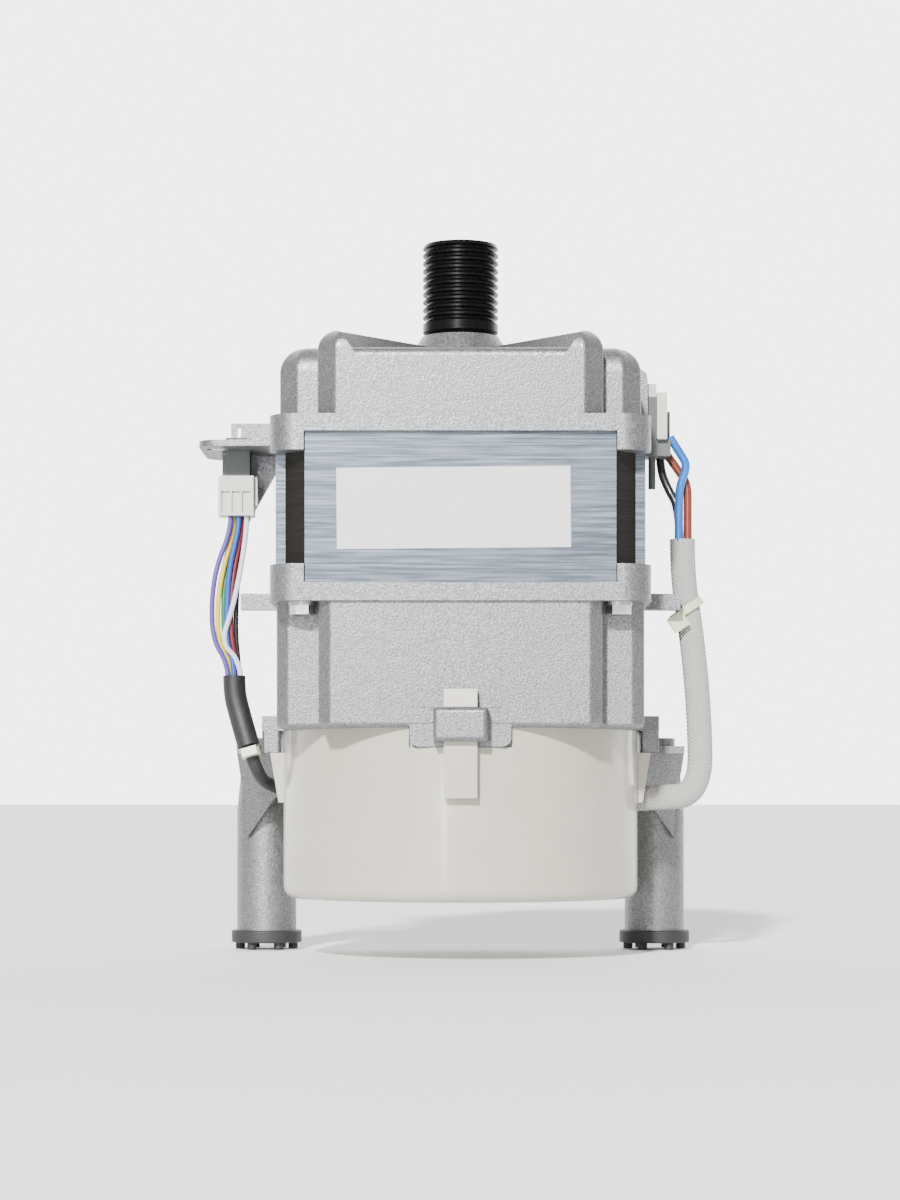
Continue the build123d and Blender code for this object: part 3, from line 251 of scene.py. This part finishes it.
def copper_winding():
    """Enamelled copper, laid in turns."""
    material = new_finish("winding", (0.55, 0.2, 0.07), 0.3, metallic=0.9)
    turns = bands(material, 380.0, (0.0, math.radians(90.0), 0.0), 0.6)
    to_shader(material, ramp(material, turns, (0.25, 0.08, 0.03), (0.62, 0.24, 0.09)), "Base Color")
    relief(material, turns, 0.0003)
    return material


# Pieces
def dress(material, *names):
    """Gives CAD nodes a finish."""
    for name in names:
        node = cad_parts[name]
        node.data.materials.clear()
        node.data.materials.append(material)


def route_curve(name, points, radius, material, weight=1.0):
    """A smooth round tube along a route of points in metres, each x, y, z with y from the shaft."""
    curve = bpy.data.curves.new(name, "CURVE")
    curve.dimensions = "3D"
    curve.bevel_depth = radius
    curve.bevel_resolution = 5
    curve.resolution_u = 10
    curve.use_fill_caps = True
    spline = curve.splines.new("NURBS")
    spline.points.add(len(points) - 1)
    for knot, (x, y, z) in zip(spline.points, points):
        knot.co = (x, SHAFT_Y + y, z, weight)
    spline.order_u = 3
    spline.use_endpoint_u = True
    piece = bpy.data.objects.new(name, curve)
    bpy.context.scene.collection.objects.link(piece)
    curve.materials.append(material)
    return piece


def select_only(piece):
    """Makes this the one selected and active object."""
    bpy.ops.object.select_all(action="DESELECT")
    piece.select_set(True)
    bpy.context.view_layer.objects.active = piece


# Stage
def lay_floor(context):
    """A wide pale floor, just under the lowest point."""
    floor_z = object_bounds()[0][2] - FLOOR_GAP
    bpy.ops.mesh.primitive_plane_add(size=FLOOR_SIZE, location=(0.0, 0.0, floor_z))
    floor = context.object
    floor.name = "studio_floor"
    pale = new_finish("pale_floor", (0.9, 0.9, 0.9), 0.9)
    to_shader(pale, ramp(pale, grain(pale, 4.0), (0.89, 0.89, 0.89), (0.91, 0.91, 0.91)), "Base Color")
    floor.data.materials.append(pale)
    floor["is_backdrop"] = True


def light_world(context, settings):
    """White surroundings, strong behind the motor and weak in front of it."""
    world = context.scene.world or bpy.data.worlds.new("studio")
    context.scene.world = world
    world.use_nodes = True
    nodes = world.node_tree.nodes
    links = world.node_tree.links
    background = nodes["Background"]
    background.inputs["Color"].default_value = (1.0, 1.0, 1.0, 1.0)
    way = nodes.new("ShaderNodeTexCoord")
    axes = nodes.new("ShaderNodeSeparateXYZ")
    fade = nodes.new("ShaderNodeMapRange")
    fade.inputs["From Min"].default_value = 0.25
    fade.inputs["From Max"].default_value = 0.8
    fade.inputs["To Min"].default_value = settings.fill
    fade.inputs["To Max"].default_value = settings.backdrop
    links.new(way.outputs["Generated"], axes.inputs["Vector"])
    links.new(axes.outputs["Y"], fade.inputs["Value"])
    links.new(fade.outputs["Result"], background.inputs["Strength"])


def hang_sun(context, settings):
    """A low sun in front, from the left."""
    sun = bpy.data.lights.new("sun", "SUN")
    sun.energy = settings.sun
    sun.angle = SUN_SPREAD
    sun_light = bpy.data.objects.new("sun", sun)
    sun_light.rotation_euler = SUN_TURN
    context.scene.collection.objects.link(sun_light)


def hang_strip(context, settings):
    """A tall narrow light in front, for a bright line down the cap."""
    strip = bpy.data.lights.new("strip", "AREA")
    strip.shape = "RECTANGLE"
    strip.size = STRIP_WIDTH
    strip.size_y = STRIP_HEIGHT
    strip.energy = settings.strip
    strip_light = bpy.data.objects.new("strip", strip)
    strip_light.location = STRIP_PLACE
    strip_light.rotation_euler = STRIP_TURN
    context.scene.collection.objects.link(strip_light)


def place_camera(context, settings):
    """A level camera in front of the shaft, shifted to frame the motor."""
    camera_data = bpy.data.cameras.new("camera")
    camera_data.lens = settings.lens
    camera_data.sensor_width = SENSOR_WIDTH_MM
    camera_data.shift_x, camera_data.shift_y = CAMERA_SHIFT
    camera = bpy.data.objects.new("camera", camera_data)
    camera.location = (0.0, SHAFT_Y - settings.camera_distance, settings.camera_height)
    camera.rotation_euler = CAMERA_TURN
    context.scene.collection.objects.link(camera)
    context.scene.camera = camera


# Settings
class CastingFinishSettings(bpy.types.PropertyGroup):
    """Finish of the castings and of the steel that shows."""

    bolt_roughness: bpy.props.FloatProperty(
        name="Bolt roughness", description="How dull the plated bolts are", default=0.32, min=0.0, max=1.0
    )


class LabelSettings(bpy.types.PropertyGroup):
    """The blank label on the front of the stator core."""

    width: bpy.props.FloatProperty(
        name="Width", description="Width of the label", default=0.0667, unit="LENGTH"
    )
    height: bpy.props.FloatProperty(
        name="Height", description="Height of the label", default=0.0232, unit="LENGTH"
    )
    thickness: bpy.props.FloatProperty(
        name="Thickness", description="Thickness of the label", default=0.00025, unit="LENGTH"
    )
    left: bpy.props.FloatProperty(
        name="Left", description="Place of its left edge", default=-0.0353, unit="LENGTH"
    )
    foot: bpy.props.FloatProperty(
        name="Foot", description="Height of its lower edge", default=0.1167, unit="LENGTH"
    )
    tilt: bpy.props.FloatProperty(name="Tilt", description="How far it leans", default=0.009, subtype="ANGLE")


class HarnessSettings(bpy.types.PropertyGroup):
    """Sensor leads, their sleeve and their cable."""

    lead_radius: bpy.props.FloatProperty(
        name="Lead radius", description="Radius of a sensor lead", default=0.00078, unit="LENGTH"
    )
    sleeve_radius: bpy.props.FloatProperty(
        name="Sleeve radius", description="Radius of the black sleeve", default=0.0034, unit="LENGTH"
    )
    cable_radius: bpy.props.FloatProperty(
        name="Cable radius", description="Radius of the sensor cable", default=0.002, unit="LENGTH"
    )


class PhaseSettings(bpy.types.PropertyGroup):
    """Phase leads and their braided sleeve."""

    lead_radius: bpy.props.FloatProperty(
        name="Lead radius", description="Radius of a phase lead", default=0.0013, unit="LENGTH"
    )
    braid_width: bpy.props.FloatProperty(
        name="Braid width", description="Width of the braided sleeve", default=0.0078, unit="LENGTH"
    )
    braid_depth: bpy.props.FloatProperty(
        name="Braid depth", description="Depth of the braided sleeve", default=0.0056, unit="LENGTH"
    )


class StageSettings(bpy.types.PropertyGroup):
    """Camera, lights and floor."""

    camera_distance: bpy.props.FloatProperty(
        name="Camera distance", description="From the shaft to the camera", default=0.88, unit="LENGTH"
    )
    camera_height: bpy.props.FloatProperty(
        name="Camera height", description="Height of the camera", default=0.0449, unit="LENGTH"
    )
    lens: bpy.props.FloatProperty(name="Lens", description="Focal length in millimetres", default=87.12)
    backdrop: bpy.props.FloatProperty(
        name="Backdrop", description="Strength of the white backdrop", default=4.6
    )
    fill: bpy.props.FloatProperty(
        name="Fill", description="Strength of the surroundings in front", default=0.4
    )
    sun: bpy.props.FloatProperty(name="Sun", description="Strength of the low frontal sun", default=7.5)
    strip: bpy.props.FloatProperty(
        name="Strip light", description="Power of the tall strip light", default=9.0
    )


# Operators, one for each group of pieces
class MOTOR_OT_castings(bpy.types.Operator):
    """Dress the brackets, the bolts and the sleeves"""

    bl_idname = "motor.castings"
    bl_label = "Castings and steel"

    def execute(self, context):
        settings = context.scene.motor_castings
        dress(cast_aluminium(), "upper_bracket", "lower_bracket")
        bolt_steel = machined_steel("bolt_steel", (0.6, 0.6, 0.6), settings.bolt_roughness)
        dress(bolt_steel, "through_bolts", "board_screws")
        dress(machined_steel("sleeve_steel", (0.7, 0.71, 0.73), 0.3), "left_leg_sleeve", "right_leg_sleeve")
        dress(machined_steel("screw_steel", (0.1, 0.11, 0.14), 0.25), "header_screw")
        return {"FINISHED"}


class MOTOR_OT_stack(bpy.types.Operator):
    """Dress the stator core and lay the blank label on its front"""

    bl_idname = "motor.stack"
    bl_label = "Stack and label"

    def execute(self, context):
        settings = context.scene.motor_label
        core_steel = laminated_steel("core_steel", (0.065, 0.08, 0.1), (0.155, 0.178, 0.205))
        # Painted shade: the recessed corner notches of the stack are darkened as if in shadow
        paint_corner_shade(core_steel, (0.03, 0.028, 0.024), CORE_FLAT_HALF)
        dress(core_steel, "stator_core")
        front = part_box("stator_core")[0][1]
        bpy.ops.mesh.primitive_cube_add(size=1.0)
        label = context.object
        label.name = "blank_label"
        bpy.ops.transform.resize(value=(settings.width, settings.thickness, settings.height))
        bpy.ops.transform.rotate(value=settings.tilt, orient_axis="Y", center_override=(0.0, 0.0, 0.0))
        bpy.ops.transform.translate(value=(
            settings.left + settings.width / 2,
            front - settings.thickness / 2,
            settings.foot + settings.height / 2,
        ))
        bpy.ops.object.transform_apply(location=True, rotation=True, scale=True)
        bpy.ops.object.modifier_add(type="BEVEL")
        label.modifiers[-1].width = settings.thickness / 3
        bpy.ops.object.modifier_apply(modifier=label.modifiers[-1].name)
        label.data.materials.append(moulded("label_paper", (0.62, 0.62, 0.625), 0.4, coat=0.3, mottle=0.02))
        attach(label, "motor_housing")
        return {"FINISHED"}


class MOTOR_OT_rotor(bpy.types.Operator):
    """Dress the pulley, the shaft, the bearings and the rotor"""

    bl_idname = "motor.rotor"
    bl_label = "Rotor and bearings"

    def execute(self, context):
        pulley = new_finish("pulley_black", (0.003, 0.003, 0.0035), 0.3, specular=0.16)
        dullness = grain(pulley, 500.0, stretch=(1.0, 1.0, 6.0))
        to_shader(pulley, spread(pulley, dullness, 0.22, 0.38), "Roughness")
        relief(pulley, grain(pulley, 900.0), 0.00002, 0.3)
        dress(pulley, "drive_pulley")
        dress(machined_steel("shaft_steel", (0.66, 0.66, 0.68), 0.25), "shaft")
        dress(
            machined_steel("bearing_steel", (0.74, 0.74, 0.75), 0.18),
            "upper_bearing_outer_race", "upper_bearing_inner_race", "upper_bearing_balls",
            "lower_bearing_outer_race", "lower_bearing_inner_race", "lower_bearing_balls", "preload_washer",
        )
        dress(laminated_steel("rotor_steel", (0.32, 0.33, 0.36), (0.55, 0.56, 0.6)), "rotor_core")
        dress(machined_steel("end_plate_aluminium", (0.75, 0.75, 0.77), 0.35), "rotor_end_plates")
        dress(moulded("magnet", (0.05, 0.05, 0.055), 0.4), "rotor_magnets", "sensor_magnet")
        return {"FINISHED"}


class MOTOR_OT_winding(bpy.types.Operator):
    """Dress the coils, their insulators and the sensor board"""

    bl_idname = "motor.winding"
    bl_label = "Winding and board"

    def execute(self, context):
        dress(copper_winding(), "stator_coils")
        insulator = moulded("insulator_plastic", (0.8, 0.78, 0.7), 0.5)
        dress(insulator, "upper_slot_insulator", "lower_slot_insulator")
        dress(moulded("board", (0.03, 0.16, 0.07), 0.35, coat=0.4), "sensor_board")
        return {"FINISHED"}


class MOTOR_OT_mouldings(bpy.types.Operator):
    """Dress the cap, the rubber feet and the connectors"""

    bl_idname = "motor.mouldings"
    bl_label = "Mouldings"

    def execute(self, context):
        dress(moulded("cap_plastic", (0.45, 0.43, 0.355), 0.3, coat=0.5, mottle=0.03), "end_cap")
        dress(moulded("foot_rubber", (0.018, 0.018, 0.02), 0.55), "left_leg_bush", "right_leg_bush")
        # Dark grey plastic, partly painted shade: it stands in for the ear plate's shadow on the sensor
        # header and the shaded recess beside the phase connector
        header = moulded("header_plastic", (0.09, 0.095, 0.095), 0.5)
        dress(header, "sensor_header", "phase_carrier", "phase_plug")
        white = moulded("white_plastic", (0.56, 0.545, 0.48), 0.4, mottle=0.03)
        dress(white, "sensor_plug", "phase_connector")
        return {"FINISHED"}


class MOTOR_OT_harness(bpy.types.Operator):
    """Lay the sensor leads, the black sleeve, the cable and its tie"""

    bl_idname = "motor.harness"
    bl_label = "Sensor harness"

    def execute(self, context):
        settings = context.scene.motor_harness
        leads = {
            "purple": ((0.09, 0.05, 0.3), [
                (-0.0693, -0.004, 0.1307), (-0.0693, -0.004, 0.1262), (-0.0738, -0.0046, 0.115),
                (-0.0752, -0.0042, 0.103), (-0.0745, -0.004, 0.093), (-0.0705, -0.0035, 0.0865),
                (-0.0702, -0.0035, 0.0822)]),
            "yellow": ((0.72, 0.55, 0.03), [
                (-0.0685, -0.002, 0.1307), (-0.0685, -0.002, 0.1268), (-0.0722, -0.0034, 0.113),
                (-0.0735, -0.0036, 0.102), (-0.0729, -0.003, 0.092), (-0.0697, -0.002, 0.0865),
                (-0.0696, -0.002, 0.0822)]),
            "green": ((0.01, 0.17, 0.06), [
                (-0.0677, 0.0, 0.1307), (-0.0677, 0.0, 0.1266), (-0.0712, -0.0018, 0.114),
                (-0.0718, -0.0026, 0.1), (-0.0711, -0.0012, 0.092), (-0.069, -0.0005, 0.0862),
                (-0.069, -0.0005, 0.0822)]),
            "blue": ((0.015, 0.08, 0.36), [
                (-0.0669, -0.004, 0.1307), (-0.0669, -0.004, 0.1268), (-0.0698, -0.0045, 0.115),
                (-0.0704, -0.0044, 0.103), (-0.0707, -0.0042, 0.093), (-0.0684, -0.0035, 0.0868),
                (-0.0684, -0.0035, 0.0822)]),
            "red": ((0.2, 0.02, 0.03), [
                (-0.0661, -0.002, 0.1307), (-0.0661, -0.002, 0.1262), (-0.0688, -0.0028, 0.113),
                (-0.0695, -0.0034, 0.102), (-0.0692, -0.0028, 0.0935), (-0.0678, -0.002, 0.0868),
                (-0.0678, -0.002, 0.0822)]),
            "black": ((0.012, 0.012, 0.013), [
                (-0.0653, 0.0, 0.1307), (-0.0653, 0.0, 0.1262), (-0.0672, -0.0012, 0.115),
                (-0.0679, -0.0022, 0.103), (-0.068, -0.001, 0.094), (-0.0672, -0.0005, 0.0868),
                (-0.0672, -0.0005, 0.0822)]),
            "white": ((0.66, 0.65, 0.78), [
                (-0.0645, -0.004, 0.1307), (-0.0645, -0.004, 0.1262), (-0.0665, -0.0046, 0.113),
                (-0.0689, -0.0048, 0.102), (-0.0722, -0.0048, 0.0925), (-0.0668, -0.0036, 0.0872),
                (-0.0664, -0.0035, 0.0822)]),
        }
        for name, (colour, points) in leads.items():
            finish = moulded(name + "_lead", colour, 0.38, coat=0.2)
            lead = route_curve("lead_" + name, points, settings.lead_radius, finish)
            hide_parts("sensor_lead_" + name)
            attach(lead, "motor_housing")
        black = moulded("black_sleeve", (0.014, 0.014, 0.015), 0.5, bump=0.0001)
        sleeve = route_curve("black_sleeve", [
            (-0.0684, -0.002, 0.0826), (-0.0684, -0.002, 0.0775), (-0.0668, -0.0027, 0.0712),
            (-0.0639, -0.004, 0.0614)], settings.sleeve_radius, black)
        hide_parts("sensor_sleeve")
        cable = route_curve("sensor_cable_run", [
            (-0.0639, -0.004, 0.0614), (-0.0617, -0.005, 0.054), (-0.0584, 0.003, 0.0492),
            (-0.0502, 0.0086, 0.0472)], settings.cable_radius, black)
        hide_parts("sensor_cable")
        for piece in (sleeve, cable):
            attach(piece, "motor_housing")
        tie = moulded("tie_plastic", (0.6, 0.7, 0.46), 0.35, coat=0.2)
        dress(tie, "sensor_cable_tie", "phase_cable_tie")
        return {"FINISHED"}


class MOTOR_OT_phase_leads(bpy.types.Operator):
    """Lay the phase leads and the braided sleeve"""

    bl_idname = "motor.phase_leads"
    bl_label = "Phase leads"

    def execute(self, context):
        settings = context.scene.motor_phase
        leads = {
            "blue": ((0.01, 0.12, 0.42), [
                (0.0634, -0.0012, 0.1548), (0.0662, -0.0012, 0.1503), (0.0688, -0.0012, 0.1462),
                (0.0663, -0.0008, 0.1402), (0.0662, 0.0007, 0.1336), (0.0662, 0.0007, 0.1235)]),
            "brown": ((0.16, 0.035, 0.02), [
                (0.0614, 0.0022, 0.1518), (0.0655, 0.0022, 0.146), (0.069, 0.0022, 0.1412),
                (0.069, 0.002, 0.134), (0.069, 0.002, 0.1235)]),
            "black": ((0.012, 0.012, 0.013), [
                (0.0608, 0.006, 0.151), (0.061, 0.006, 0.1454), (0.0634, 0.0056, 0.1396),
                (0.0664, 0.0035, 0.134), (0.0666, 0.0035, 0.1235)]),
        }
        for name, (colour, points) in leads.items():
            finish = moulded(name + "_phase", colour, 0.3, coat=0.4)
            lead = route_curve("phase_" + name, points, settings.lead_radius, finish)
            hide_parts(name + "_phase_lead")
            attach(lead, "motor_housing")
        section = bpy.data.curves.new("braid_section", "CURVE")
        section.dimensions = "2D"
        ring = section.splines.new("NURBS")
        ring.points.add(BRAID_SECTION_POINTS - 1)
        for number, knot in enumerate(ring.points):
            angle = 2 * math.pi * number / BRAID_SECTION_POINTS
            across = settings.braid_width / 2 * math.cos(angle)
            along = settings.braid_depth / 2 * math.sin(angle)
            knot.co = (across, along, 0.0, 1.0)
        ring.use_cyclic_u = True
        section_piece = bpy.data.objects.new("braid_section", section)
        context.scene.collection.objects.link(section_piece)
        braid = route_curve("braid_run", [
            (0.0674, 0.002, 0.1242), (0.0674, 0.002, 0.113), (0.0698, 0.002, 0.098), (0.0718, 0.002, 0.08),
            (0.0727, 0.002, 0.064), (0.0728, 0.002, 0.053), (0.0695, 0.002, 0.0466), (0.0632, 0.002, 0.0458),
            (0.0506, 0.002, 0.0455)], 0.0, woven("braid", (0.62, 0.61, 0.575), (0.27, 0.262, 0.245)))
        braid.data.bevel_mode = "OBJECT"
        braid.data.bevel_object = section_piece
        select_only(braid)
        bpy.ops.object.convert(target="MESH")
        bpy.data.objects.remove(section_piece)
        bpy.ops.object.shade_smooth()
        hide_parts("braided_sleeve")
        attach(braid, "motor_housing")
        return {"FINISHED"}


class MOTOR_OT_stage(bpy.types.Operator):
    """Set up the floor, the lights and the camera"""

    bl_idname = "motor.stage"
    bl_label = "Stage"

    def execute(self, context):
        settings = context.scene.motor_stage
        lay_floor(context)
        light_world(context, settings)
        hang_sun(context, settings)
        hang_strip(context, settings)
        place_camera(context, settings)
        return {"FINISHED"}


OPERATORS = (
    MOTOR_OT_castings,
    MOTOR_OT_stack,
    MOTOR_OT_rotor,
    MOTOR_OT_winding,
    MOTOR_OT_mouldings,
    MOTOR_OT_harness,
    MOTOR_OT_phase_leads,
    MOTOR_OT_stage,
)


class MOTOR_PT_panel(bpy.types.Panel):
    """The motor's pieces, in the order they are made"""

    bl_idname = "MOTOR_PT_panel"
    bl_label = "Belt drive motor"
    bl_space_type = "VIEW_3D"
    bl_region_type = "UI"
    bl_category = "Motor"

    def draw(self, context):
        for operator in OPERATORS:
            self.layout.operator(operator.bl_idname)


SETTINGS = {
    "motor_castings": CastingFinishSettings,
    "motor_label": LabelSettings,
    "motor_harness": HarnessSettings,
    "motor_phase": PhaseSettings,
    "motor_stage": StageSettings,
}


def register():
    for name, group in SETTINGS.items():
        bpy.utils.register_class(group)
        setattr(bpy.types.Scene, name, bpy.props.PointerProperty(type=group))
    for operator in OPERATORS:
        bpy.utils.register_class(operator)
    bpy.utils.register_class(MOTOR_PT_panel)


def unregister():
    bpy.utils.unregister_class(MOTOR_PT_panel)
    for operator in reversed(OPERATORS):
        bpy.utils.unregister_class(operator)
    for name, group in SETTINGS.items():
        delattr(bpy.types.Scene, name)
        bpy.utils.unregister_class(group)


def main():
    """Registers the add-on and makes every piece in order."""
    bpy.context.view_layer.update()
    register()
    bpy.ops.motor.castings()
    bpy.ops.motor.stack()
    bpy.ops.motor.rotor()
    bpy.ops.motor.winding()
    bpy.ops.motor.mouldings()
    bpy.ops.motor.harness()
    bpy.ops.motor.phase_leads()
    bpy.ops.motor.stage()


if __name__ == "__main__":
    main()
